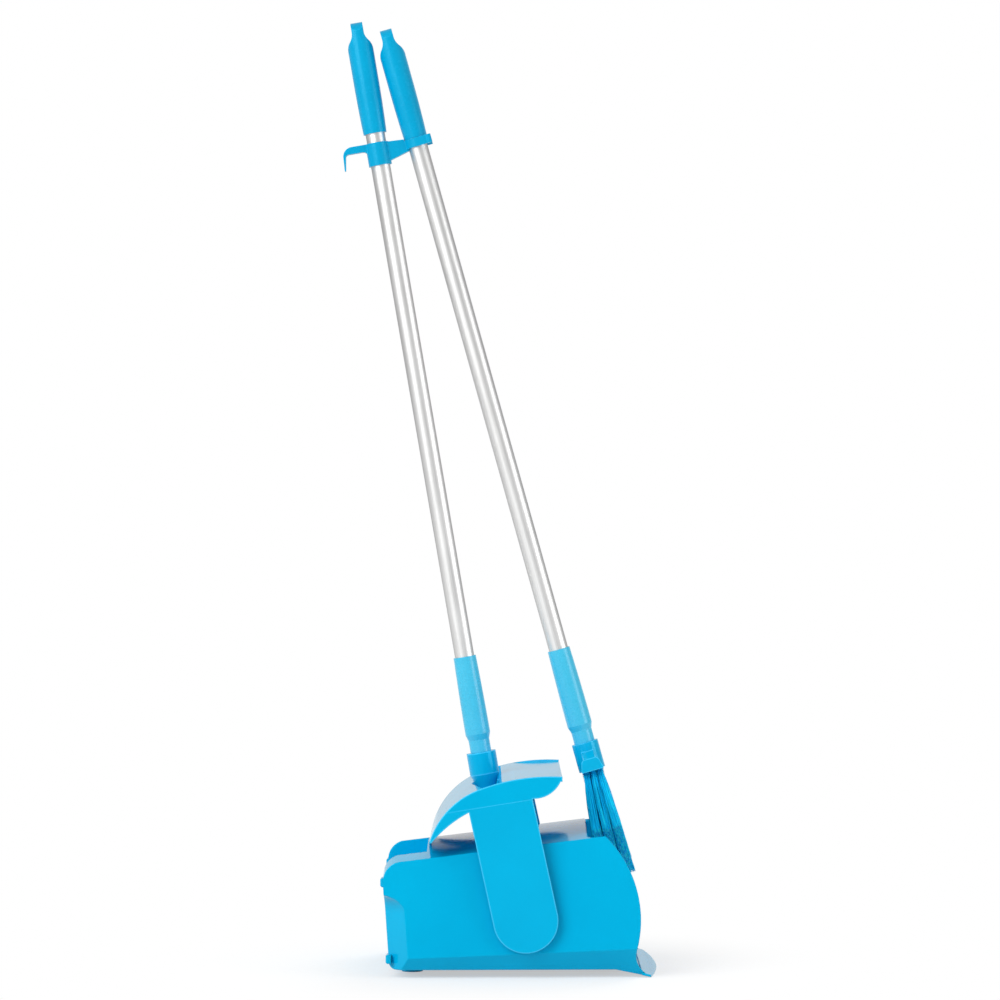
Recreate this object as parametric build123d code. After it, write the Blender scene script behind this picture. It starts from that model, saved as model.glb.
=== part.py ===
from build123d import *
from math import asin, cos, degrees, pi, radians, sin, sqrt, tan
import os

# Upright dustpan whose pan hangs on a yoke, with its broom clipped to the handle.
# Millimetres, +Z up, +X towards the pan's mouth, origin on the floor under the middle of the set.

# Pivot between the pan and the yoke's arms
PIVOT_X = 29.0
PIVOT_Z = 64.5
PIN_DIAMETER = 14.0
PIN_HEAD_DIAMETER = 22.0
PIN_HEAD_THICKNESS = 3.0
PIN_SEAT_DEPTH = 4.2
PIN_CLEARANCE = 0.08
PIN_END_PLAY = 0.3
BOSS_DIAMETER = 28.0
BOSS_LENGTH = 5.0

# Pan
PAN_WIDTH = 290.0
SIDE_LEAN = 4.0
PAN_WALL = 3.0
FLOOR_THICKNESS = 3.0
UNDERSIDE_Z = 8.5
REAR_X = -122.5
REAR_LEAN = 4.0
ROOF_RISE = 81.0
ROOF_SLOPE = 7.0
ROOF_CROWN = 9.0
ROOF_SETBACK = 19.4
ROOF_CORNER_CHAMFER = 6.0
REAR_TOP_RADIUS = 22.0
REAR_TOP_CHAMFER = 14.0
REAR_BOTTOM_RADIUS = 8.0
MOUTH_RADIUS = 127.5
FLARE_ANGLE = -15.0
BEVEL_REAR_Z = 21.0
BEVEL_FRONT_Z = 35.0
BEVEL_ANGLE = 31.0
CORNER_CHAMFER = 24.0
CORNER_TOP_Z = 92.0
CORNER_RUNOUT = 20.0

# Front lip, a ramp down to a thin edge that lies on the floor
LIP_FLARE = 15.85
LIP_BOW = 10.0
LIP_EDGE = 1.0
RAMP_LENGTH = 39.0

# Hand recess across the rear top edge
RECESS_MARGIN = 47.5
RECESS_FRONT_X = -81.0
RECESS_FLOOR_Z = 103.0
RECESS_RADIUS = 14.0

# Feet under the floor and pads on the rear wall
FOOT_DIAMETER = 24.0
FOOT_X = -98.0
FOOT_INSET = 77.0
PAD_WIDTH = 18.0
PAD_HEIGHT = 10.0
PAD_DEPTH = 3.0
PAD_INSET = 21.0
PAD_LOW_Z = 20.0
PAD_HIGH_Z = 105.0

# Yoke: curved cover, skirts, strap arms and handle socket
ARM_GAP = 1.2
ARM_THICKNESS = 6.0
ARM_WIDTH = 72.0
ARM_LEAN = 12.3
ARM_OVERLAP = 3.0
SKIRT_RADIUS = 135.0
SKIRT_THICKNESS = 5.0
SKIRT_LEAN = 6.0
SKIRT_NOSE_ANGLE = 87.0
CREASE_DISTANCE = 131.5
CREASE_SLOPE = 9.0
COVER_SKIN = 3.0
NOSE_SKIN = 5.5
NOSE_BULGE = 1.0
NOSE_X = 69.5
NOSE_Z = 223.5
NOSE_DROOP = 3.2
CROWN_RADIUS = 225.0
CROWN_ARC = 24.2
TAIL_RADIUS = 90.0
TAIL_ARC = 59.0
TAIL_SAG = 10.0
DISH_START_X = 15.0
DISH_DEPTH = 1.5
DISH_RIM = 5.0
STOP_GAP = 0.3
SOCKET_DIAMETER = 33.6
SOCKET_HEIGHT = 25.0
PLUG_END_DIAMETER = 18.0
PLUG_LENGTH = 19.0
RELIEF_DROP = 42.0
RELIEF_RIM = 6.0
RELIEF_REAR = -10.8
RELIEF_FRONT = 23.2
RELIEF_END_REAR = 2.2
RELIEF_END_FRONT = 22.2

# Handles, alike on the pan and the broom
TUBE_DIAMETER = 22.0
TUBE_WALL = 1.3
TUBE_INSERTION = 95.0
NECK_DIAMETER = 23.8
NECK_LENGTH = 14.0
SLEEVE_BOTTOM_DIAMETER = 28.4
SLEEVE_TOP_DIAMETER = 25.6
SLEEVE_CONE_HEIGHT = 7.0
SLEEVE_BELLY = 0.3
SLEEVE_TOP = 110.0
SPIGOT_DIAMETER = 20.0
SPIGOT_LENGTH = 25.0
SPIGOT_CLEARANCE = 0.2
SHAFT_LENGTH = 715.0
GRIP_LENGTH = 128.0
GRIP_END_DIAMETER = 26.6
GRIP_DIAMETER = 29.0
GRIP_TAPER = 60.0
TAB_THICKNESS = 13.5
TAB_LENGTH = 11.5
TAB_SHOULDER = 21.0
TAB_ARCH_EXCESS = 1.0
HANG_HOLE = 8.0
HANG_HOLE_DROP = 8.0
FIT_CLEARANCE = 0.05

# Pan handle: middle of the socket's mouth, and how far the handle leans back
PAN_SOCKET_X = -21.2
PAN_SOCKET_Z = 242.0
PAN_LEAN = 9.72

# Broom: its axis in front of the roof's edge, and its socket's mouth above that edge
BROOM_STANDOFF = 26.6
BROOM_RISE = 102.8
BLOCK_LENGTH = 204.0
BLOCK_HEIGHT = 14.0
BLOCK_TOP_THICKNESS = 20.0
BLOCK_THICKNESS = 25.0
BLOCK_TILT = 7.0
BLOCK_DROP = 39.3
BLOCK_SOCKET_DIAMETER = 30.4
RIB_THICKNESS = 14.0
RIB_REACH = 74.0
RIB_TOP_DROP = 7.0

# Bristles: three rows of tufts, cut at a slant
ROW_PITCH = 7.4
SLICE_THICKNESS = 4.0
SLICE_LENGTH = 198.0
TUFTS = 15
TUFT_PITCH = 12.9
TUFT_RADIUS = 2.6
STRANDS_AROUND = 6
STRAND_RADIUS = 1.35
ROW_FLARE_ANGLE = 5.9
ROW_DRIFT_ANGLE = -2.0
TUFT_FAN_ANGLE = 9.3
TUFT_DRIFT_ANGLE = 3.4
TIP_DEPTH = 132.2
TIP_ANGLE = 19.3
STAPLE_WIDTH = 5.0
STAPLE_HEIGHT = 4.0
STAPLE_WIRE = 0.9
STAPLE_CLEARANCE = 0.1

# Clip on the pan's tube that carries the broom under its grip
COLLAR_DIAMETER = 26.4
COLLAR_DROP = 37.0
COLLAR_HEIGHT = 26.0
CLIP_SPACING = 45.3
RING_HEIGHT = 10.0
RING_WALL = 3.0
RING_CLEARANCE = 0.3
CLIP_REST_GAP = 0.3
CLIP_WEB = 11.0
HOOK_REACH = 39.6
HOOK_ARM = 8.0
HOOK_FINGER = 2.8
HOOK_TIP = 1.4
HOOK_DROP = 26.0
HOOK_SPLAY = 1.6
HOOK_BEND_RADIUS = 11.0
HOOK_INNER_RADIUS = 3.5
HOOK_ROOT_RADIUS = 7.0

# Sizes that follow from the ones above
ARM_INNER = PAN_WIDTH / 2 + ARM_GAP
ARM_OUTER = ARM_INNER + ARM_THICKNESS
ROOF_HALF = PAN_WIDTH / 2 - (PIVOT_Z + ROOF_RISE - BEVEL_REAR_Z) * tan(radians(SIDE_LEAN))
CROWN_CYLINDER = (ROOF_HALF ** 2 + ROOF_CROWN ** 2) / (2 * ROOF_CROWN)
TAIL_CYLINDER = (ARM_OUTER ** 2 + TAIL_SAG ** 2) / (2 * TAIL_SAG)
PIN_BORE = PIN_DIAMETER + 2 * PIN_CLEARANCE
SPIGOT_BORE = SPIGOT_DIAMETER + 2 * SPIGOT_CLEARANCE
TUBE_BORE = TUBE_DIAMETER + 2 * FIT_CLEARANCE
PIVOT = Vector(PIVOT_X, PIVOT_Z)
RECESS_WIDTH = PAN_WIDTH - 2 * RECESS_MARGIN
FOOT_Y = PAN_WIDTH / 2 - FOOT_INSET
PAD_Y = PAN_WIDTH / 2 - PAD_INSET
ARM_LENGTH = SKIRT_RADIUS + ARM_OVERLAP
LIP_CORNER_X = PIVOT_X + MOUTH_RADIUS * cos(radians(FLARE_ANGLE)) + LIP_FLARE
LIP_FRONT_X = LIP_CORNER_X + LIP_BOW
RAMP_X = LIP_CORNER_X - RAMP_LENGTH
RING_MIDDLE = SHAFT_LENGTH - CLIP_REST_GAP - RING_HEIGHT / 2
REACH = 2 * PAN_WIDTH
PAN_HANDLE = Location((PAN_SOCKET_X, 0, PAN_SOCKET_Z), (0, -PAN_LEAN, 0))
BLOCK_FRAME = Location((0, 0, -BLOCK_DROP), (-BLOCK_TILT, 0, 0))
FROM_BELOW = (Align.CENTER, Align.CENTER, Align.MIN)
FROM_ABOVE = (Align.CENTER, Align.CENTER, Align.MAX)


def side_prism(face, half_width):
    """A face drawn in X and Z, extruded to both sides of the middle plane."""
    return extrude(Plane.XZ * face, amount=half_width, both=True)


def side_plate(face, inner, outer, side):
    """A face drawn in X and Z as a plate between two distances from the middle plane."""
    plate = extrude(Plane.XZ * face, amount=-side * (outer - inner))
    return Pos(0, side * inner, 0) * plate


def polar(radius, angle):
    """A point of the side view, measured from the pivot."""
    return PIVOT + Vector(radius * cos(radians(angle)), radius * sin(radians(angle)))


def rear_x(height):
    """Rear wall's outer face at a height."""
    return REAR_X - (height - UNDERSIDE_Z) * tan(radians(REAR_LEAN))


def roof_plane():
    """Plane through the roof's two side edges, above the pivot."""
    slope = radians(ROOF_SLOPE)
    origin = (PIVOT_X, 0, PIVOT_Z + ROOF_RISE)
    return Plane(origin, x_dir=(cos(slope), 0, sin(slope)), z_dir=(-sin(slope), 0, cos(slope)))


def below_roof(lift):
    """All that lies under the crowned roof, raised or lowered square to it."""
    drum = Rot(0, 90, 0) * Cylinder(CROWN_CYLINDER, 3 * REACH)
    return roof_plane() * Pos(0, 0, ROOF_CROWN - CROWN_CYLINDER + lift) * drum


def roof_front_x():
    """Roof's front edge, set back from where the mouth's arc meets the roof's sides."""
    slope = radians(ROOF_SLOPE)
    half_chord = sqrt(MOUTH_RADIUS ** 2 - (ROOF_RISE * cos(slope)) ** 2)
    return PIVOT_X + (half_chord - ROOF_RISE * sin(slope)) * cos(slope) - ROOF_SETBACK


def broom_handle():
    """Broom's place: its axis passes the roof's edge, and leans until the tube is in the clip."""
    edge_x = roof_front_x()
    edge_z = PIVOT_Z + ROOF_RISE + (edge_x - PIVOT_X) * tan(radians(ROOF_SLOPE))
    passing = Vector(edge_x + BROOM_STANDOFF, 0, edge_z)
    from_pan = (PAN_HANDLE.inverse() * Pos(passing)).position.X
    lean = radians(PAN_LEAN) + asin((from_pan - CLIP_SPACING) / (BROOM_RISE + RING_MIDDLE))
    socket = passing + Vector(-sin(lean), 0, cos(lean)) * BROOM_RISE
    return Location(socket, (0, -degrees(lean), 0))


def side_bevel(side, inset):
    """What the bevel along a lower side edge takes away."""
    run = Vector(LIP_CORNER_X - REAR_X, 0, BEVEL_FRONT_Z - BEVEL_REAR_Z).normalized()
    outward = Vector(0, side * cos(radians(BEVEL_ANGLE)), -sin(radians(BEVEL_ANGLE)))
    normal = (outward - run * outward.dot(run)).normalized()
    crease = Vector(REAR_X, side * PAN_WIDTH / 2, BEVEL_REAR_Z)
    face = Plane(crease - normal * inset, x_dir=run, z_dir=normal)
    return face * Box(2 * REACH, REACH, PAN_WIDTH, align=FROM_BELOW)


def side_lean(side, inset):
    """What the inward lean of a side wall takes away, above the bevel's rear end."""
    lean = radians(SIDE_LEAN)
    normal = Vector(0, side * cos(lean), sin(lean))
    crease = Vector(REAR_X, side * PAN_WIDTH / 2, BEVEL_REAR_Z)
    face = Plane(crease - normal * inset, x_dir=(1, 0, 0), z_dir=normal)
    return face * Box(4 * REACH, 4 * REACH, PAN_WIDTH, align=FROM_BELOW)


def corner_cutter(side, inset, top):
    """What the chamfer of a rear upright corner takes away, below a height."""
    diagonal = Vector(-1, side, 0).normalized()
    corner = Vector(rear_x(CORNER_TOP_Z / 2), side * PAN_WIDTH / 2, 0)
    origin = corner - diagonal * (CORNER_CHAMFER / sqrt(2) + inset)
    frame = Plane(origin, x_dir=diagonal.cross(Vector(0, 0, 1)), z_dir=(0, 0, 1))
    depth = 3 * CORNER_CHAMFER
    block = Pos(0, depth / 2, 0) * Box(6 * CORNER_CHAMFER, depth, top, align=FROM_BELOW)
    edge = block.edges().filter_by(Axis.X).group_by(Axis.Y)[0].sort_by(Axis.Z)[-1]
    return frame * fillet(edge, CORNER_RUNOUT)


def pan_outline():
    """Side view of the pan: rear wall, mouth edge on an arc about the pivot, flare and ramp."""
    top = PIVOT_Z + MOUTH_RADIUS
    rear = make_face(Polyline((rear_x(UNDERSIDE_Z), UNDERSIDE_Z), (rear_x(top), top), (PIVOT_X, top),
                              (PIVOT_X, UNDERSIDE_Z), close=True))
    rear = fillet(rear.vertices().group_by(Axis.Y)[0].sort_by(Axis.X)[0], REAR_BOTTOM_RADIUS)
    low = Pos(PIVOT_X, UNDERSIDE_Z) * Rectangle(REACH, REACH, align=(Align.MIN, Align.MIN))
    disc = Pos(PIVOT_X, PIVOT_Z) * Circle(MOUTH_RADIUS)
    start = polar(MOUTH_RADIUS, FLARE_ANGLE)
    heading = (sin(radians(FLARE_ANGLE)), -cos(radians(FLARE_ANGLE)))
    flare = TangentArc(start, (LIP_CORNER_X, LIP_EDGE), tangent=heading)
    ramp = Polyline(flare @ 1, (LIP_CORNER_X, 0), (RAMP_X, UNDERSIDE_Z), (PIVOT_X, UNDERSIDE_Z),
                    (PIVOT_X, start.Y), start)
    return rear + (disc & low) + make_face(flare + ramp)


def rear_rounding(side):
    """All that lies in front of the rear wall and under a plane that touches the roof beside the
    recess, with the edge between them rounded."""
    beside = side * (PAN_WIDTH - RECESS_MARGIN) / 2
    turn = Rot(-degrees(asin(beside / CROWN_CYLINDER)), 0, 0) * Pos(0, 0, CROWN_CYLINDER)
    touching = roof_plane() * Pos(0, 0, ROOF_CROWN - CROWN_CYLINDER) * turn
    wall = Polyline((rear_x(-REACH), -REACH), (rear_x(REACH), REACH), (REACH, REACH), (REACH, -REACH),
                    close=True)
    block = side_prism(make_face(wall), PAN_WIDTH)
    block &= touching * Box(4 * REACH, 4 * REACH, 4 * REACH, align=FROM_ABOVE)
    edge = block.edges().filter_by(lambda e: e.bounding_box().max.X < RECESS_FRONT_X)
    return fillet(edge.sort_by(Axis.Z)[-1], REAR_TOP_RADIUS)


def pan_shell_form():
    """Outside of the pan, without its lip strip, feet and pads."""
    form = side_prism(pan_outline(), PAN_WIDTH / 2) & below_roof(0)
    for side in (-1, 1):
        form &= rear_rounding(side)
        form -= side_lean(side, 0)
        form -= side_bevel(side, 0)
        form -= corner_cutter(side, 0, CORNER_TOP_Z)
    return form


def pan_cavity():
    """Dust chamber, open at the mouth."""
    floor_z = UNDERSIDE_Z + FLOOR_THICKNESS
    top = PIVOT_Z + MOUTH_RADIUS
    wall = PAN_WALL / cos(radians(REAR_LEAN))
    outline = Polyline((rear_x(floor_z) + wall, floor_z), (RAMP_X, floor_z),
                       (LIP_CORNER_X, LIP_EDGE), (REACH, LIP_EDGE), (REACH, top),
                       (rear_x(top) + wall, top), close=True)
    room = side_prism(make_face(outline), PAN_WIDTH / 2 - PAN_WALL) & below_roof(-PAN_WALL)
    across = room.edges().filter_by(lambda e: e.bounding_box().max.X < RECESS_FRONT_X)
    across = across.filter_by(lambda e: e.bounding_box().size.Y > PAN_WIDTH / 2)
    room = chamfer(across.sort_by(Axis.Z)[-1], REAR_TOP_CHAMFER)
    for side in (-1, 1):
        room -= side_lean(side, PAN_WALL)
        room -= side_bevel(side, PAN_WALL)
        room -= corner_cutter(side, PAN_WALL, REACH)
    return room


def mouth_cut():
    """What is open above the chamber, in front of the roof's edge."""
    plan = Pos(roof_front_x(), 0) * Rectangle(REACH, PAN_WIDTH, align=(Align.MIN, Align.CENTER))
    room = Pos(0, 0, PIVOT_Z) * extrude(plan, amount=REACH)
    for side in (-1, 1):
        room -= side_lean(side, PAN_WALL)
    corners = room.edges().group_by(Axis.X)[0]
    corners = corners.filter_by(lambda e: e.bounding_box().size.Z > REACH / 2)
    return chamfer(corners, ROOF_CORNER_CHAMFER)


def recess_box(grow):
    """Room for the fingers across the rear top edge, or with a wall's thickness its casing."""
    width = RECESS_WIDTH + 2 * grow
    block = Box(REACH, width, REACH, align=(Align.MAX, Align.CENTER, Align.MIN))
    edge = block.edges().filter_by(Axis.Y).group_by(Axis.X)[-1].sort_by(Axis.Z)[0]
    block = fillet(edge, RECESS_RADIUS)
    return Pos(RECESS_FRONT_X + grow, 0, RECESS_FLOOR_Z - grow) * block


def lip_strip():
    """Thin front edge, bowed forward in plan."""
    half = PAN_WIDTH / 2 - (BEVEL_FRONT_Z - UNDERSIDE_Z) * tan(radians(BEVEL_ANGLE))
    slope = (UNDERSIDE_Z + FLOOR_THICKNESS - LIP_EDGE) / (LIP_CORNER_X - RAMP_X)
    top_z = LIP_EDGE + slope * (LIP_FRONT_X - LIP_CORNER_X) / 2
    back_x = LIP_CORNER_X - (LIP_FRONT_X - LIP_CORNER_X)
    back_z = (LIP_CORNER_X - back_x) * UNDERSIDE_Z / (LIP_CORNER_X - RAMP_X)
    section = Polyline((back_x, back_z), (LIP_CORNER_X, 0), (LIP_FRONT_X, 0),
                       (LIP_FRONT_X, LIP_EDGE / 2), (LIP_CORNER_X, top_z),
                       (back_x, back_z + FLOOR_THICKNESS), close=True)
    front = ThreePointArc((LIP_CORNER_X, -half), (LIP_FRONT_X, 0), (LIP_CORNER_X, half))
    plan = front + Polyline(front @ 1, (back_x, half), (back_x, -half), front @ 0)
    return side_prism(make_face(section), half) & extrude(make_face(plan), amount=PIVOT_Z)


def pan_body():
    """Moulded pan with its pivot bosses, feet and rear pads."""
    shell = pan_shell_form()
    casing = recess_box(PAN_WALL)
    body = shell - (pan_cavity() - casing) - mouth_cut() - recess_box(0)
    body += lip_strip()
    for side in (-1, 1):
        boss = Pos(PIVOT_X, side * (PAN_WIDTH - PAN_WALL - BOSS_LENGTH) / 2, PIVOT_Z)
        body += boss * Rot(90, 0, 0) * Cylinder(BOSS_DIAMETER / 2, PAN_WALL + BOSS_LENGTH)
        foot = Cylinder(FOOT_DIAMETER / 2, UNDERSIDE_Z, align=FROM_BELOW)
        body += Pos(FOOT_X, side * FOOT_Y, 0) * foot
        for height in (PAD_LOW_Z, PAD_HIGH_Z):
            pad = Box(2 * PAD_DEPTH, PAD_WIDTH, PAD_HEIGHT)
            pad = chamfer(pad.edges().group_by(Axis.X)[0], PAD_DEPTH / 2)
            body += Pos(rear_x(height), side * PAD_Y, height) * pad
    body -= Pos(PIVOT_X, 0, PIVOT_Z) * Rot(90, 0, 0) * Cylinder(PIN_BORE / 2, PAN_WIDTH)
    return body


def pivot_pin(side):
    """Flanged pin, pushed from inside the pan into the arm's blind hole."""
    head_y = PAN_WIDTH / 2 - PAN_WALL - BOSS_LENGTH - PIN_END_PLAY
    end_y = ARM_INNER + PIN_SEAT_DEPTH - FIT_CLEARANCE
    shank = Cylinder(PIN_DIAMETER / 2, end_y - head_y, align=FROM_BELOW)
    head = Cylinder(PIN_HEAD_DIAMETER / 2, PIN_HEAD_THICKNESS, align=FROM_ABOVE)
    return Pos(PIVOT_X, side * head_y, PIVOT_Z) * Rot(-side * 90, 0, 0) * (shank + head)


def cover_curve(drop):
    """Cover's top line in side view, from the nose to the tail, moved square to itself."""
    droop = radians(NOSE_DROOP)
    nose = Vector(NOSE_X, NOSE_Z) - Vector(sin(droop), cos(droop)) * drop
    crown = JernArc(nose, (-cos(droop), sin(droop)), CROWN_RADIUS - drop, CROWN_ARC)
    tail = JernArc(crown @ 1, crown % 1, TAIL_RADIUS - drop, TAIL_ARC)
    return crown, tail


def under_cover(drop):
    """Side view of all that lies inside the cover's top line."""
    crown, tail = cover_curve(drop)
    start = polar(SKIRT_RADIUS, SKIRT_NOSE_ANGLE)
    heading = (sin(radians(SKIRT_NOSE_ANGLE)), -cos(radians(SKIRT_NOSE_ANGLE)))
    nose = TangentArc(start, crown @ 0, tangent=heading)
    return make_face(crown + tail + Polyline(tail @ 1, PIVOT, start) + nose)


def cover_shell():
    """Curved skin between two skirts, dished at the nose and bowed at the tail."""
    crown, tail = cover_curve(0)
    inner_crown, inner_tail = cover_curve(COVER_SKIN)
    nose_end = crown @ 0 - Vector(0, NOSE_SKIN)
    thick = ThreePointArc(inner_crown @ 1, inner_crown @ 0.5 - Vector(0, NOSE_BULGE), nose_end)
    skin = make_face(crown + tail + Line(tail @ 1, inner_tail @ 1) + inner_tail + thick
                     + Line(nose_end, crown @ 0))
    shell = side_prism(skin, ARM_OUTER)
    dish_x = (crown @ 0).X - DISH_START_X
    dish_start = crown @ (dish_x / (CROWN_RADIUS * radians(CROWN_ARC)))
    dish_end = crown @ 0 - Vector(0, DISH_DEPTH)
    dish = make_face(Polyline(dish_start, dish_end, dish_end + Vector(0, NOSE_SKIN),
                              dish_start + Vector(0, NOSE_SKIN), close=True))
    shell -= side_prism(dish, ARM_OUTER - DISH_RIM)
    crescent = under_cover(0) - Pos(PIVOT_X, PIVOT_Z) * Circle(SKIRT_RADIUS)
    for side in (-1, 1):
        shell += side_plate(crescent, ARM_OUTER - SKIRT_THICKNESS, ARM_OUTER, side)
    tail_low = (tail @ 1).Y
    drum = Rot(0, 90, 0) * Cylinder(TAIL_CYLINDER, 2 * REACH)
    shell &= Pos(0, 0, tail_low + TAIL_CYLINDER) * drum
    return shell - below_roof(STOP_GAP)


def handle_socket():
    """Socket for the handle, on a tapered plug that stands in the cover's relief."""
    socket = Cylinder(SOCKET_DIAMETER / 2, SOCKET_HEIGHT, align=FROM_ABOVE)
    plug = Cone(PLUG_END_DIAMETER / 2, SOCKET_DIAMETER / 2, PLUG_LENGTH, align=FROM_ABOVE)
    return PAN_HANDLE * (socket + Pos(0, 0, -SOCKET_HEIGHT) * plug)


def socket_relief(grow):
    """Hollow in the cover on both sides of the socket, or with a skin's thickness its casing."""
    end_y = ARM_OUTER - RELIEF_RIM
    plan = make_face(Polyline(
        (RELIEF_REAR, 0), (RELIEF_END_REAR, -end_y), (RELIEF_END_FRONT, -end_y),
        (RELIEF_FRONT, 0), (RELIEF_END_FRONT, end_y), (RELIEF_END_REAR, end_y), close=True))
    if grow:
        plan = offset(plan, grow, kind=Kind.INTERSECTION)
    floor_z = PAN_SOCKET_Z - RELIEF_DROP - grow
    return Pos(PAN_SOCKET_X, 0, floor_z) * extrude(plan, amount=REACH)


def crease_cutter(side):
    """What the skirt's inward lean above its crease takes away."""
    slope = radians(CREASE_SLOPE)
    lean = radians(SKIRT_LEAN)
    arm = radians(ARM_LEAN)
    point = Vector(PIVOT_X - CREASE_DISTANCE * sin(arm), side * ARM_OUTER,
                   PIVOT_Z + CREASE_DISTANCE * cos(arm))
    run = Vector(cos(slope), 0, sin(slope))
    up = Vector(-sin(slope), 0, cos(slope))
    normal = Vector(0, side * cos(lean), 0) + up * sin(lean)
    return Plane(point, x_dir=run, z_dir=normal) * Box(REACH, REACH, REACH, align=FROM_BELOW)


def yoke_cover():
    """Cover, skirts, relief, socket and the two strap arms that carry the pan."""
    casing = socket_relief(COVER_SKIN) & side_prism(under_cover(0), ARM_OUTER)
    yoke = cover_shell() + casing - socket_relief(0) + handle_socket()
    strap = Rectangle(ARM_WIDTH, ARM_LENGTH, align=(Align.CENTER, Align.MIN))
    strap = Pos(PIVOT_X, PIVOT_Z) * Rot(0, 0, ARM_LEAN) * (strap + Circle(ARM_WIDTH / 2))
    seat = Cylinder(PIN_DIAMETER / 2 + FIT_CLEARANCE, PIN_SEAT_DEPTH, align=FROM_BELOW)
    for side in (-1, 1):
        yoke += side_plate(strap, ARM_INNER, ARM_OUTER, side)
        yoke -= crease_cutter(side)
        yoke -= Pos(PIVOT_X, side * ARM_INNER, PIVOT_Z) * Rot(-side * 90, 0, 0) * seat
    bore = Cylinder(SPIGOT_BORE / 2, SPIGOT_LENGTH + SPIGOT_CLEARANCE, align=FROM_ABOVE)
    return yoke - PAN_HANDLE * bore


def turned(curve, *corners):
    """Solid of revolution about the handle's axis: a curve, closed through corners."""
    outline = curve + Polyline(curve @ 1, *corners, curve @ 0)
    return revolve(Plane.XZ * make_face(outline), Axis.Z)


def handle_sleeve():
    """Tapered sleeve on the tube's end, with the spigot that screws into a socket."""
    low = Vector(SLEEVE_BOTTOM_DIAMETER / 2, NECK_LENGTH + SLEEVE_CONE_HEIGHT)
    high = Vector(SLEEVE_TOP_DIAMETER / 2, SLEEVE_TOP)
    taper = ThreePointArc(low, (low + high) / 2 + Vector(SLEEVE_BELLY, 0), high)
    sleeve = turned(
        taper, (0, SLEEVE_TOP), (0, -SPIGOT_LENGTH), (SPIGOT_DIAMETER / 2, -SPIGOT_LENGTH),
        (SPIGOT_DIAMETER / 2, 0), (NECK_DIAMETER / 2, 0), (NECK_DIAMETER / 2, NECK_LENGTH))
    return sleeve - Pos(0, 0, low.Y) * Cylinder(TUBE_BORE / 2, SLEEVE_TOP, align=FROM_BELOW)


def handle_tube():
    """Aluminium tube between the sleeve and the grip."""
    start = NECK_LENGTH + SLEEVE_CONE_HEIGHT
    length = SHAFT_LENGTH + TUBE_INSERTION - start
    tube = Cylinder(TUBE_DIAMETER / 2, length, align=FROM_BELOW)
    tube -= Cylinder(TUBE_DIAMETER / 2 - TUBE_WALL, length, align=FROM_BELOW)
    return Pos(0, 0, start) * tube


def handle_grip():
    """Grip that narrows to its lower end, with a bottle neck and a drilled, arched tab."""
    top = SHAFT_LENGTH + GRIP_LENGTH
    neck_z = top - TAB_LENGTH
    shoulder_z = neck_z - TAB_SHOULDER
    half = GRIP_DIAMETER / 2
    tab = TAB_THICKNESS / 2
    belly = TangentArc((half, SHAFT_LENGTH + GRIP_TAPER), (GRIP_END_DIAMETER / 2, SHAFT_LENGTH),
                       tangent=(0, -1))
    grip = turned(belly, (0, SHAFT_LENGTH), (0, top), (half, top))
    middle = Vector((half + tab) / 2, (shoulder_z + neck_z) / 2)
    flank = TangentArc((half, shoulder_z), middle, tangent=(0, 1))
    flank += TangentArc((tab, neck_z), middle, tangent=(0, -1))
    waste = make_face(flank + Polyline((tab, neck_z), (tab, top), (2 * half, top),
                                       (2 * half, shoulder_z), (half, shoulder_z)))
    for side in (0, 180):
        grip -= Rot(0, 0, side) * side_prism(waste, 2 * half)
    arch = half + TAB_ARCH_EXCESS
    keep = Pos(0, top - arch) * Circle(arch)
    keep += Pos(0, top - arch) * Rectangle(2 * arch, GRIP_LENGTH, align=(Align.CENTER, Align.MAX))
    grip &= extrude(Plane.YZ * keep, amount=2 * half, both=True)
    hole_z = top - HANG_HOLE_DROP
    grip -= Pos(0, 0, hole_z) * Rot(0, 90, 0) * Cylinder(HANG_HOLE / 2, 4 * half)
    bore = Cylinder(TUBE_BORE / 2, TUBE_INSERTION + FIT_CLEARANCE, align=FROM_BELOW)
    return grip - Pos(0, 0, SHAFT_LENGTH) * bore


def hook_outline():
    """Side view of the hook, down from the collar's top."""
    root = TUBE_DIAMETER / 2
    tip = HOOK_REACH + HOOK_SPLAY
    hook = make_face(Polyline(
        (0, 0), (-HOOK_REACH, 0), (-tip, -HOOK_DROP), (HOOK_TIP - tip, -HOOK_DROP),
        (HOOK_FINGER - HOOK_REACH, -HOOK_ARM), (-root, -HOOK_ARM),
        (-root, -HOOK_ARM - 2 * HOOK_ROOT_RADIUS), (0, -HOOK_ARM - 2 * HOOK_ROOT_RADIUS), close=True))
    corners = ((-HOOK_REACH, 0, HOOK_BEND_RADIUS),
               (HOOK_FINGER - HOOK_REACH, -HOOK_ARM, HOOK_INNER_RADIUS),
               (-root, -HOOK_ARM, HOOK_ROOT_RADIUS))
    for x, y, radius in corners:
        hook = fillet(hook.vertices().sort_by_distance((x, y, 0))[0], radius)
    return hook


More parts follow.
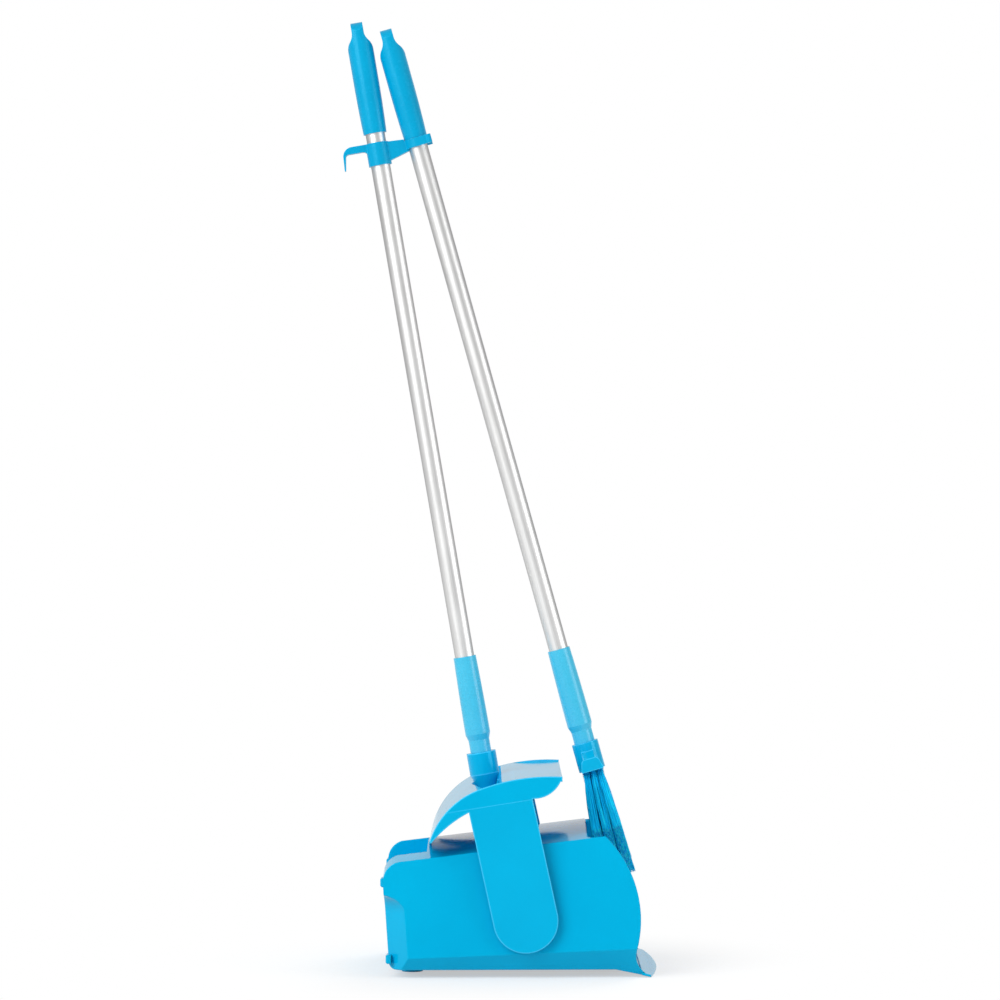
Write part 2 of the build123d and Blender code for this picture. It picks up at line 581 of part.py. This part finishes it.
def handle_clip():
    """Collar on the pan's tube, hook on one side and open ring for the broom on the other."""
    ring_place = BROOM_HANDLE * Pos(0, 0, RING_MIDDLE + RING_HEIGHT / 2)
    ring_radius = TUBE_DIAMETER / 2 + RING_CLEARANCE
    ring_outer = ring_radius + RING_WALL
    ring_at = (PAN_HANDLE.inverse() * ring_place * Pos(0, 0, -RING_HEIGHT / 2)).position
    collar_bottom = SHAFT_LENGTH - COLLAR_DROP
    collar_top = collar_bottom + COLLAR_HEIGHT

    collar = Cylinder(COLLAR_DIAMETER / 2, COLLAR_HEIGHT, align=FROM_BELOW)
    collar = Pos(0, 0, collar_bottom) * collar
    web = make_face(Polyline((0, collar_bottom), (ring_at.X, ring_at.Z - RING_HEIGHT / 2),
                             (ring_at.X, ring_at.Z + RING_HEIGHT / 2), (0, collar_top), close=True))
    hook = Pos(0, collar_top) * hook_outline()
    clip = PAN_HANDLE * (collar + side_prism(web, CLIP_WEB / 2) + side_prism(hook, CLIP_WEB / 2))

    ring = Cylinder(ring_outer, RING_HEIGHT, align=FROM_ABOVE)
    leg = Box(ring_outer, 2 * ring_outer, RING_HEIGHT, align=(Align.MIN, Align.CENTER, Align.MAX))
    for side in (-1, 1):
        bead = Pos(ring_outer, side * (ring_outer - RING_WALL / 2), 0)
        ring += bead * Cylinder(RING_WALL, RING_HEIGHT, align=FROM_ABOVE)
    clip += ring_place * (ring + leg)
    way_out = Cylinder(ring_radius, REACH)
    way_out += Box(REACH, 2 * ring_radius, REACH, align=(Align.MIN, Align.CENTER, Align.CENTER))
    clip -= ring_place * way_out
    clip -= ring_place * Cylinder(GRIP_DIAMETER / 2, REACH, align=FROM_BELOW)
    clip -= PAN_HANDLE * Cylinder(TUBE_BORE / 2, REACH * 4)
    return clip


def row_offsets():
    """Each row's place across the block, from the rear row to the front row."""
    return {"rear": -ROW_PITCH, "middle": 0.0, "front": ROW_PITCH}


def tuft_places():
    """Each tuft's place along the block."""
    first = -(TUFTS - 1) / 2
    return [(first + index) * TUFT_PITCH for index in range(TUFTS)]


def staple(clearance):
    """Flat wire staple that holds a tuft's fold, or with clearance its pocket."""
    return Box(STAPLE_WIDTH + 2 * clearance, STAPLE_WIRE + 2 * clearance, STAPLE_HEIGHT + clearance,
               align=FROM_BELOW)


def broom_block():
    """Slanting block with its handle socket, ribs, bristle pocket and staple pockets."""
    half = BLOCK_LENGTH / 2
    bevel = (BLOCK_THICKNESS - BLOCK_TOP_THICKNESS) / 2
    low = BLOCK_THICKNESS / 2
    high = BLOCK_TOP_THICKNESS / 2
    section = Polyline(
        (-low, 0), (low, 0), (low, bevel), (high, BLOCK_HEIGHT - bevel), (high - bevel, BLOCK_HEIGHT),
        (bevel - high, BLOCK_HEIGHT), (-high, BLOCK_HEIGHT - bevel), (-low, bevel), close=True)
    block = BLOCK_FRAME * side_prism(make_face(section), half)
    socket_length = BLOCK_DROP - BLOCK_HEIGHT / 2
    block += Cylinder(BLOCK_SOCKET_DIAMETER / 2, socket_length, align=FROM_ABOVE)
    rib_foot = tan(radians(BLOCK_TILT)) * RIB_REACH
    foot_z = BLOCK_HEIGHT / 2 - BLOCK_DROP
    rib = Polyline((0, -RIB_TOP_DROP), (RIB_REACH, foot_z - rib_foot),
                   (-RIB_REACH, foot_z + rib_foot), close=True)
    block += extrude(Plane.YZ * make_face(rib), amount=RIB_THICKNESS / 2, both=True)
    block -= Cylinder(SPIGOT_BORE / 2, SPIGOT_LENGTH + SPIGOT_CLEARANCE, align=FROM_ABOVE)
    block -= BLOCK_FRAME * Box(3 * ROW_PITCH, SLICE_LENGTH, SLICE_THICKNESS, align=FROM_BELOW)
    pocket = staple(STAPLE_CLEARANCE)
    pockets = [BLOCK_FRAME * Pos(x, y, SLICE_THICKNESS) * pocket
               for x in row_offsets().values() for y in tuft_places()]
    return block - pockets


def bristle_row(x):
    """One row's slice of the block with its strands, spread alike and cut on the slant."""
    backing = Box(ROW_PITCH - FIT_CLEARANCE, SLICE_LENGTH - FIT_CLEARANCE, SLICE_THICKNESS,
                  align=FROM_BELOW)
    backing = Pos(x, 0, 0) * backing
    section = RegularPolygon(STRAND_RADIUS, 3).face()
    tilt = radians(BLOCK_TILT)
    cut = tan(radians(TIP_ANGLE))
    flare = tan(radians(ROW_FLARE_ANGLE)) / ROW_PITCH
    fan = tan(radians(TUFT_FAN_ANGLE)) / (BLOCK_LENGTH / 2)
    ring = [(0.0, 0.0)]
    for index in range(STRANDS_AROUND):
        angle = 2 * pi * (index + 0.5) / STRANDS_AROUND
        ring.append((TUFT_RADIUS * cos(angle), TUFT_RADIUS * sin(angle)))
    strands = []
    for tuft_y in tuft_places():
        for ring_x, ring_y in ring:
            root_x = x + ring_x
            root_y = tuft_y + ring_y
            way_x = tan(radians(ROW_DRIFT_ANGLE)) + flare * root_x
            way_y = tan(radians(TUFT_DRIFT_ANGLE)) + fan * root_y
            root_depth = BLOCK_DROP + root_y * sin(tilt)
            tip_depth = TIP_DEPTH + cut * root_y * cos(tilt)
            side_step = way_y * cos(tilt) - sin(tilt)
            depth_step = cos(tilt) + way_y * sin(tilt) - cut * side_step
            reach = (tip_depth - root_depth) / depth_step
            strand = Solid.extrude(section, Vector(way_x * reach, way_y * reach, -reach))
            strands.append(Pos(root_x, root_y, 0) * strand)
    return BLOCK_FRAME * backing.fuse(*strands)


def staple_row(x):
    """One row's staples, each against the slice that carries its tuft."""
    form = staple(0)
    return Compound(children=[BLOCK_FRAME * Pos(x, y, SLICE_THICKNESS) * form for y in tuft_places()])


BROOM_HANDLE = broom_handle()
parts = {
    "pan_body": pan_body(),
    "pivot_pin_left": pivot_pin(1),
    "pivot_pin_right": pivot_pin(-1),
    "yoke_cover": yoke_cover(),
    "pan_sleeve": PAN_HANDLE * handle_sleeve(),
    "pan_tube": PAN_HANDLE * handle_tube(),
    "pan_grip": PAN_HANDLE * handle_grip(),
    "handle_clip": handle_clip(),
    "broom_block": BROOM_HANDLE * broom_block(),
    "broom_sleeve": BROOM_HANDLE * handle_sleeve(),
    "broom_tube": BROOM_HANDLE * handle_tube(),
    "broom_grip": BROOM_HANDLE * handle_grip(),
}
for row, across in row_offsets().items():
    parts[f"bristles_{row}"] = BROOM_HANDLE * bristle_row(across)
    parts[f"staples_{row}"] = BROOM_HANDLE * staple_row(across)

os.makedirs("parts", exist_ok=True)
for name, shape in parts.items():
    export_step(shape, f"parts/{name}.step")
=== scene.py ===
import math
import random

import bmesh
import bpy
from mathutils import Matrix, Vector


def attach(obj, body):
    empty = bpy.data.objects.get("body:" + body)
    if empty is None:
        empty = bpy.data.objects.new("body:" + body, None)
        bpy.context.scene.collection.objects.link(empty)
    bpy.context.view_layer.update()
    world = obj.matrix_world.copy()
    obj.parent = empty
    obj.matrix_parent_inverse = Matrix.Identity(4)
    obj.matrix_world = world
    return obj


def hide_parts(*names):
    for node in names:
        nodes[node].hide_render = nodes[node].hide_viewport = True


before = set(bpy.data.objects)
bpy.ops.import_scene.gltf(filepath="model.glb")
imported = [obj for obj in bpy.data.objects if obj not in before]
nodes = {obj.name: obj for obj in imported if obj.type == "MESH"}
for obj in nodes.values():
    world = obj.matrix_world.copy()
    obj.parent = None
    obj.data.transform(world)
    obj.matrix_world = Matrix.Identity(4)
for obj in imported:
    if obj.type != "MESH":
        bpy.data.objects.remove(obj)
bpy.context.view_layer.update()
scene = bpy.context.scene
scene.view_settings.view_transform = "Standard"

# Camera, at the photograph's angle
CAMERA_PLACE = (0.0005, -4.688, 0.529)
CAMERA_LENS = 148.03
SENSOR_WIDTH = 36.0
VIEW_DEPTH = 50.0

# Repeated from the part's source, in metres and degrees
PAN_LEAN = 9.72
BROOM_LEAN = 15.6235
BROOM_SOCKET = (0.0969371, 0.0, 0.252977)
BLOCK_DROP = 0.0393
BLOCK_TILT = 7.0
BLOCK_LENGTH = 0.204
SLICE_LENGTH = 0.198
SLICE_THICKNESS = 0.004
ROW_PITCH = 0.0074
ROW_DRIFT = -2.0
TUFTS = 15
TUFT_PITCH = 0.0129
TUFT_FAN = 9.3
TUFT_DRIFT = 3.4
TIP_DEPTH = 0.1322
TIP_ANGLE = 19.3

# Bristles: fuller tufts than the source's, in rows that spread less towards their tips
ROWS = ("rear", "middle", "front")
ROW_FLARE = 3.8
ROW_SEED = 40
SLICE_GAP = 0.00005
SLICE_SHADE = 0.5
FIBRES = 52
GOLDEN_ANGLE = 2.399963
ANGLE_JITTER = 0.2
TUFT_RADIUS = 0.0034
TUFT_SQUEEZE = 0.96
TUFT_SPLAY = 0.8
ROOT_DEPTH = 0.001
LENGTH_SPREAD = 0.012
BOW_ACROSS = 0.0007
BOW_ALONG = 0.0009
WAVE_HEIGHT = 0.00022
WAVE_TURN = 9.0
FIBRE_RADIUS = 0.00036
FIBRE_TAPER = 0.12
FIBRE_RINGS = (0.0, 0.2, 0.4, 0.6, 0.8, 0.95, 1.0)
FIBRE_CORNERS = (0.0, math.pi / 2, math.pi, 3 * math.pi / 2)
SHADE_MEAN = 0.62
SHADE_SPREAD = 0.20
# Painted shade: share of a fibre's tone that is left at its root, rising to the full tone at the
# tip
ROOT_PAINTED_SHADE = 0.7
TIP_SHADES = (0.1, 0.9)
TIP_JITTER = 0.1

# Plastics: the noise, the grain, and the cosines at which the painted highlight along a rounded
# edge starts and ends
NOISE_RANGE = (0.3, 0.7)
DRIFT_SCALE = 14.0
GLOSS_SCALE = 160.0
GRAIN_SCALE = 420.0
GRAIN_STRENGTH = 0.004
GRAIN_HEIGHT = 0.0002
EDGE_SAMPLES = 8
EDGE_HIGHLIGHT_RANGE = (0.9999, 0.9985)

# Metal tube
STREAK_SCALE = 900.0
STREAK_STRETCH = 0.012
STREAK_STRENGTH = 0.03
CLOUD_SCALE = 30.0
CLOUD_GLOSS = 0.02

# Filament and wire
FIBRE_GLOSS_SCALE = 600.0
FIBRE_BUMP_SCALE = 2500.0
FIBRE_BUMP_STRENGTH = 0.15
WIRE_SCALE = 900.0
WIRE_BUMP_STRENGTH = 0.1
FINE_HEIGHT = 0.0001

# Sockets of the mix node for colours
MIX_FACTOR, MIX_FIRST, MIX_SECOND, MIX_RESULT = 0, 6, 7, 2

# Colours
BLUE_TINT = (0.10, 0.78, 1.0)
DARK_BLUE = (0.0, 0.435, 0.745)
LIGHT_BLUE = (0.0, 0.465, 0.785)
# Painted highlight colour for the rounded edges and creases of the yoke and the block
HIGHLIGHT_BLUE = (0.05, 0.60, 0.97)
WHITE = (1.0, 1.0, 1.0)

# Studio
FLOOR_HALF = 3.0
FLOOR_DROP = 0.0005
FLOOR_FADE = (0.12, 0.42)
FLOOR_WHITE = (0.5, 1.0)
FLOOR_GREY = (0.70, 0.70, 0.70)
AMBIENT = (0.475, 0.475, 0.475)
TENT_FADE = (0.5, 0.95)
TENT_LIGHT = (0.45, 0.73)


class Nodes:
    """Short hand for building a node tree."""

    def __init__(self, tree):
        tree.nodes.clear()
        self.tree = tree

    def add(self, kind, inputs=None, **settings):
        node = self.tree.nodes.new(kind)
        for key, value in settings.items():
            setattr(node, key, value)
        for key, value in (inputs or {}).items():
            if isinstance(value, bpy.types.NodeSocket):
                self.tree.links.new(value, node.inputs[key])
            else:
                node.inputs[key].default_value = value
        return node

    def place(self, kind="Object"):
        return self.add("ShaderNodeTexCoord").outputs[kind]

    def noise(self, vector, scale, detail=3.0, roughness=0.5):
        inputs = {"Vector": vector, "Scale": scale, "Detail": detail, "Roughness": roughness}
        return self.add("ShaderNodeTexNoise", inputs).outputs["Fac"]

    def remap(self, value, low, high, span=NOISE_RANGE, **settings):
        inputs = {"Value": value, "From Min": span[0], "From Max": span[1],
                  "To Min": low, "To Max": high}
        return self.add("ShaderNodeMapRange", inputs, **settings).outputs["Result"]

    def maths(self, operation, first, second):
        return self.add("ShaderNodeMath", {0: first, 1: second}, operation=operation).outputs[0]

    def vectors(self, operation, inputs, output):
        return self.add("ShaderNodeVectorMath", inputs, operation=operation).outputs[output]

    def blend(self, factor, first, second):
        made = self.add("ShaderNodeMix", {MIX_FACTOR: factor}, data_type="RGBA")
        for key, value in ((MIX_FIRST, first), (MIX_SECOND, second)):
            socket = made.inputs[key]
            if isinstance(value, bpy.types.NodeSocket):
                self.tree.links.new(value, socket)
            else:
                socket.default_value = (*value, 1.0)
        return made.outputs[MIX_RESULT]

    def bump(self, inputs):
        return self.add("ShaderNodeBump", inputs).outputs["Normal"]

    def finish(self, inputs):
        shader = self.add("ShaderNodeBsdfPrincipled", inputs)
        self.add("ShaderNodeOutputMaterial", {"Surface": shader.outputs[0]})


def new_material(name):
    made = bpy.data.materials.new(name)
    made.use_nodes = True
    return made, Nodes(made.node_tree)


def moulded(name, dark, light, edge_highlight, roughness, tint, edge):
    """Moulded plastic: slow colour drift, fine grain in gloss and surface, edges shaded as rounded
    and lightened by a painted highlight.
    """
    made, n = new_material(name)
    place = n.place()
    colour = n.blend(n.remap(n.noise(place, DRIFT_SCALE), 0.0, 1.0), dark, light)
    gloss = n.remap(n.noise(place, GLOSS_SCALE, 4.0), *roughness)
    rounded = n.add("ShaderNodeBevel", {"Radius": edge}, samples=EDGE_SAMPLES).outputs["Normal"]
    flat = n.add("ShaderNodeNewGeometry").outputs["Normal"]
    turn = n.vectors("DOT_PRODUCT", {0: rounded, 1: flat}, "Value")
    # Painted highlight: the colour turns paler where the rounded normal leans away from the flat
    # one, along edges and creases
    colour = n.blend(n.remap(turn, 0.0, 1.0, EDGE_HIGHLIGHT_RANGE), colour, edge_highlight)
    normal = n.bump({"Strength": GRAIN_STRENGTH, "Distance": GRAIN_HEIGHT, "Normal": rounded,
                     "Height": n.noise(place, GRAIN_SCALE, 2.0)})
    n.finish({"Base Color": colour, "Roughness": gloss, "Normal": normal,
              "Specular Tint": (*tint, 1.0)})
    return made


def anodised(name, lean):
    """Drawn and anodised tube: fine streaks along its length, and darker towards its edges."""
    made, n = new_material(name)
    place = n.place()
    turned = n.add("ShaderNodeMapping", {"Vector": place, "Rotation": (0, math.radians(lean), 0)})
    along = n.add("ShaderNodeMapping", {"Vector": turned.outputs[0],
                                        "Scale": (1, 1, STREAK_STRETCH)})
    streak = n.noise(along.outputs[0], STREAK_SCALE, 4.0, 0.6)
    cloud = n.remap(n.noise(place, CLOUD_SCALE), -CLOUD_GLOSS, CLOUD_GLOSS)
    colour = n.blend(n.remap(streak, 0.0, 1.0), (0.78, 0.78, 0.775), (0.88, 0.88, 0.875))
    gloss = n.maths("ADD", n.remap(streak, 0.40, 0.48), cloud)
    normal = n.bump({"Strength": STREAK_STRENGTH, "Distance": GRAIN_HEIGHT, "Height": streak})
    n.finish({"Base Color": colour, "Metallic": 1.0, "Roughness": gloss, "Normal": normal,
              "Specular Tint": (0.25, 0.25, 0.25, 1.0)})
    return made


def filament(name):
    """Synthetic filament: each fibre has its own tone and another one at its cut tip."""
    made, n = new_material(name)
    place = n.place()
    tone = n.add("ShaderNodeVertexColor", layer_name="tone").outputs["Color"]
    tone = n.add("ShaderNodeSeparateColor", {"Color": tone}).outputs["Red"]
    colour = n.blend(tone, (0.0, 0.52, 1.0), (0.02, 0.90, 1.0))
    gloss = n.remap(n.noise(place, FIBRE_GLOSS_SCALE), 0.34, 0.50)
    normal = n.bump({"Strength": FIBRE_BUMP_STRENGTH, "Distance": FINE_HEIGHT,
                     "Height": n.noise(place, FIBRE_BUMP_SCALE)})
    n.finish({"Base Color": colour, "Roughness": gloss, "Normal": normal,
              "Specular Tint": (0.0, 0.6, 1.0, 1.0)})
    return made


def wire(name):
    """Drawn steel wire."""
    made, n = new_material(name)
    grain = n.noise(n.place(), WIRE_SCALE, 4.0)
    colour = n.blend(grain, (0.42, 0.42, 0.43), (0.62, 0.62, 0.63))
    normal = n.bump({"Strength": WIRE_BUMP_STRENGTH, "Distance": FINE_HEIGHT, "Height": grain})
    n.finish({"Base Color": colour, "Metallic": 1.0, "Roughness": n.remap(grain, 0.28, 0.42),
              "Normal": normal})
    return made


def floor_material():
    """Pale floor that shows the object's shadow and fades into the white background."""
    made, n = new_material("floor")
    flat = n.vectors("MULTIPLY", {0: n.place(), 1: (1, 1, 0)}, 0)
    reach = n.vectors("LENGTH", {0: flat}, "Value")
    far = n.remap(reach, *FLOOR_WHITE, FLOOR_FADE, interpolation_type="SMOOTHSTEP")
    light = n.add("ShaderNodeLightPath").outputs
    seen = n.maths("MAXIMUM", light["Is Camera Ray"], light["Is Glossy Ray"])
    seen = n.maths("MAXIMUM", seen, light["Is Transmission Ray"])
    colour = n.blend(light["Is Camera Ray"], FLOOR_GREY, WHITE)
    matt = n.add("ShaderNodeBsdfDiffuse", {"Color": colour}).outputs[0]
    white = n.add("ShaderNodeEmission", {"Color": (*WHITE, 1.0), "Strength": 1.0}).outputs[0]
    mix = n.add("ShaderNodeMixShader", {0: n.maths("MULTIPLY", far, seen), 1: matt, 2: white})
    n.add("ShaderNodeOutputMaterial", {"Surface": mix.outputs[0]})
    return made


def studio_world():
    """White surroundings, like a light tent that is brighter behind the object."""
    made = bpy.data.worlds.new("studio")
    made.use_nodes = True
    n = Nodes(made.node_tree)
    axes = n.add("ShaderNodeSeparateXYZ", {"Vector": n.place("Generated")}).outputs
    tent = n.remap(axes["Y"], *TENT_LIGHT, TENT_FADE, interpolation_type="SMOOTHSTEP")
    light = n.add("ShaderNodeLightPath").outputs
    shown = n.maths("MAXIMUM", light["Is Glossy Ray"], light["Is Transmission Ray"])
    colour = n.blend(light["Is Camera Ray"], n.blend(shown, AMBIENT, tent), WHITE)
    background = n.add("ShaderNodeBackground", {"Color": colour, "Strength": 1.0})
    n.add("ShaderNodeOutputWorld", {"Surface": background.outputs[0]})
    return made


def fibre_way(x, y):
    """Direction and length of a fibre that leaves the block at a place, down to the slanted cut."""
    tilt = math.radians(BLOCK_TILT)
    cut = math.tan(math.radians(TIP_ANGLE))
    way_x = math.tan(math.radians(ROW_DRIFT)) + math.tan(math.radians(ROW_FLARE)) * x / ROW_PITCH
    way_y = (math.tan(math.radians(TUFT_DRIFT))
             + math.tan(math.radians(TUFT_FAN)) * y / (BLOCK_LENGTH / 2))
    root_depth = BLOCK_DROP + y * math.sin(tilt)
    tip_depth = TIP_DEPTH + cut * y * math.cos(tilt)
    side_step = way_y * math.cos(tilt) - math.sin(tilt)
    depth_step = math.cos(tilt) + way_y * math.sin(tilt) - cut * side_step
    return Vector((way_x, way_y, -1.0)), (tip_depth - root_depth) / depth_step


def paint(face, tone, shade):
    for loop in face.loops:
        loop[tone] = (shade, shade, shade, 1.0)


def add_slice(mesh, tone, row_x):
    """The slice of the block that carries a row."""
    for vert in bmesh.ops.create_cube(mesh, size=1.0)["verts"]:
        vert.co = Vector((row_x + vert.co.x * (ROW_PITCH - SLICE_GAP),
                          vert.co.y * (SLICE_LENGTH - SLICE_GAP),
                          (vert.co.z + 0.5) * SLICE_THICKNESS))
    for face in mesh.faces:
        paint(face, tone, SLICE_SHADE)


def add_fibre(mesh, tone, rng, row_x, tuft_y, index):
    """One fibre of a tuft: a thin tube with its own bend, length and tone, closed at both ends."""
    radius = TUFT_RADIUS * math.sqrt((index + 0.5) / FIBRES)
    angle = index * GOLDEN_ANGLE + rng.uniform(-ANGLE_JITTER, ANGLE_JITTER)
    side = radius * math.sin(angle)
    root = Vector((row_x + radius * math.cos(angle) * TUFT_SQUEEZE, tuft_y + side, 0.0))
    way, reach = fibre_way(root.x, root.y)
    reach *= 1.0 - abs(rng.gauss(0, LENGTH_SPREAD))
    bow = Vector((rng.gauss(0, BOW_ACROSS), rng.gauss(0, BOW_ALONG), 0))
    wave = rng.uniform(0, 2 * math.pi)
    shade = min(1.0, max(0.0, rng.gauss(SHADE_MEAN, SHADE_SPREAD)))
    tip_shade = rng.choice(TIP_SHADES) + rng.uniform(-TIP_JITTER, TIP_JITTER)

    rings = []
    for share in FIBRE_RINGS:
        along = reach * share - ROOT_DEPTH * (1.0 - share)
        centre = root + way * along + bow * math.sin(math.pi * share)
        centre.x += WAVE_HEIGHT * math.sin(wave + WAVE_TURN * share)
        centre.y += TUFT_SPLAY * side * share
        thick = FIBRE_RADIUS * (1.0 - FIBRE_TAPER * share)
        rings.append([mesh.verts.new(centre + thick * Vector((math.cos(turn), math.sin(turn), 0)))
                      for turn in FIBRE_CORNERS])

    sides = len(FIBRE_CORNERS)
    for share, low, high in zip(FIBRE_RINGS[1:], rings, rings[1:]):
        # Painted shade: the sides darken towards the root, while the cut tip keeps its own tone
        value = tip_shade if share == 1.0 else shade * (ROOT_PAINTED_SHADE + (1.0 - ROOT_PAINTED_SHADE) * share)
        for i in range(sides):
            j = (i + 1) % sides
            face = mesh.faces.new((low[i], high[i], high[j], low[j]))
            face.smooth = True
            paint(face, tone, value)
    paint(mesh.faces.new(rings[0]), tone, shade)
    paint(mesh.faces.new(rings[-1][::-1]), tone, tip_shade)


def bristle_row(name, row_x, seed, place, material):
    """A row of tufts on its slice of the block."""
    rng = random.Random(seed)
    mesh = bmesh.new()
    tone = mesh.loops.layers.color.new("tone")
    add_slice(mesh, tone, row_x)
    for tuft in range(TUFTS):
        tuft_y = (tuft - (TUFTS - 1) / 2) * TUFT_PITCH
        for index in range(FIBRES):
            add_fibre(mesh, tone, rng, row_x, tuft_y, index)
    mesh.transform(place)
    data = bpy.data.meshes.new(name)
    mesh.to_mesh(data)
    mesh.free()
    data.materials.append(material)
    return add_object(name, data)


def add_object(name, data):
    made = bpy.data.objects.new(name, data)
    scene.collection.objects.link(made)
    return made


def softbox(name, place, target, width, height, power):
    data = bpy.data.lights.new(name, "AREA")
    data.shape = "RECTANGLE"
    data.size = width
    data.size_y = height
    data.energy = power
    lamp = add_object(name, data)
    lamp.location = place
    lamp.rotation_euler = (Vector(target) - Vector(place)).to_track_quat("-Z", "Y").to_euler()
    return lamp


# Camera
camera_data = bpy.data.cameras.new("camera")
camera_data.sensor_width = SENSOR_WIDTH
camera_data.lens = CAMERA_LENS
camera_data.clip_end = VIEW_DEPTH
camera = add_object("camera", camera_data)
camera.location = CAMERA_PLACE
camera.rotation_euler = (math.radians(90), 0, 0)
scene.camera = camera

# Finishes of the CAD nodes
# The third colour of each plastic is the painted highlight along its rounded edges
pan_blue = moulded("pan_plastic", DARK_BLUE, LIGHT_BLUE, LIGHT_BLUE,
                   roughness=(0.09, 0.13), tint=BLUE_TINT, edge=0.0024)
yoke_blue = moulded("yoke_plastic", DARK_BLUE, LIGHT_BLUE, HIGHLIGHT_BLUE,
                    roughness=(0.10, 0.14), tint=BLUE_TINT, edge=0.0020)
block_blue = moulded("block_plastic", DARK_BLUE, LIGHT_BLUE, HIGHLIGHT_BLUE,
                     roughness=(0.12, 0.17), tint=(0.3, 0.85, 1.0), edge=0.0012)
grip_blue = moulded("grip_plastic", (0.0, 0.350, 0.620), (0.0, 0.378, 0.660), (0.01, 0.46, 0.76),
                    roughness=(0.26, 0.28), tint=(0.25, 0.80, 1.0), edge=0.0006)
sleeve_blue = moulded("sleeve_plastic",
                      (0.042, 0.53, 0.78), (0.060, 0.565, 0.825), (0.09, 0.60, 0.86),
                      roughness=(0.265, 0.285), tint=WHITE, edge=0.0005)
pan_metal = anodised("pan_tube_metal", PAN_LEAN)
broom_metal = anodised("broom_tube_metal", BROOM_LEAN)
bristle = filament("bristle")
staple_wire = wire("staple_wire")

FINISH = {
    "pan_body": pan_blue, "pivot_pin_left": yoke_blue, "pivot_pin_right": yoke_blue,
    "yoke_cover": yoke_blue, "broom_block": block_blue,
    "pan_sleeve": sleeve_blue, "broom_sleeve": sleeve_blue,
    "pan_grip": grip_blue, "broom_grip": grip_blue, "handle_clip": grip_blue,
    "pan_tube": pan_metal, "broom_tube": broom_metal,
    "staples_rear": staple_wire, "staples_middle": staple_wire, "staples_front": staple_wire,
}
for name, finish in FINISH.items():
    slots = nodes[name].data.materials
    slots.clear()
    slots.append(finish)

# Bristles, which replace the CAD's plainer rows
broom_frame = (Matrix.Translation(BROOM_SOCKET)
               @ Matrix.Rotation(math.radians(-BROOM_LEAN), 4, "Y")
               @ Matrix.Translation((0, 0, -BLOCK_DROP))
               @ Matrix.Rotation(math.radians(-BLOCK_TILT), 4, "X"))
for number, row in enumerate(ROWS):
    piece = bristle_row(f"tufts_{row}", (number - 1) * ROW_PITCH, ROW_SEED + number,
                        broom_frame, bristle)
    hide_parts(f"bristles_{row}")
    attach(piece, "broom")

# Floor, surroundings and lamps
corners = [(x * FLOOR_HALF, y * FLOOR_HALF, 0) for x, y in ((-1, -1), (1, -1), (1, 1), (-1, 1))]
floor_data = bpy.data.meshes.new("floor")
floor_data.from_pydata(corners, [], [(0, 1, 2, 3)])
floor_data.materials.append(floor_material())
floor = add_object("floor", floor_data)
floor.location.z = -FLOOR_DROP

scene.world = studio_world()
softbox("key", (-2.1, -2.4, 2.25), (0, 0, 0.45), width=2.3, height=3.0, power=95)
softbox("fill", (2.8, -1.2, 0.95), (0, 0, 0.45), width=1.6, height=1.5, power=24)
back = softbox("back", (1.3, 2.9, 2.2), (0, 0, 0.4), width=2.4, height=2.4, power=60)
back.visible_glossy = False
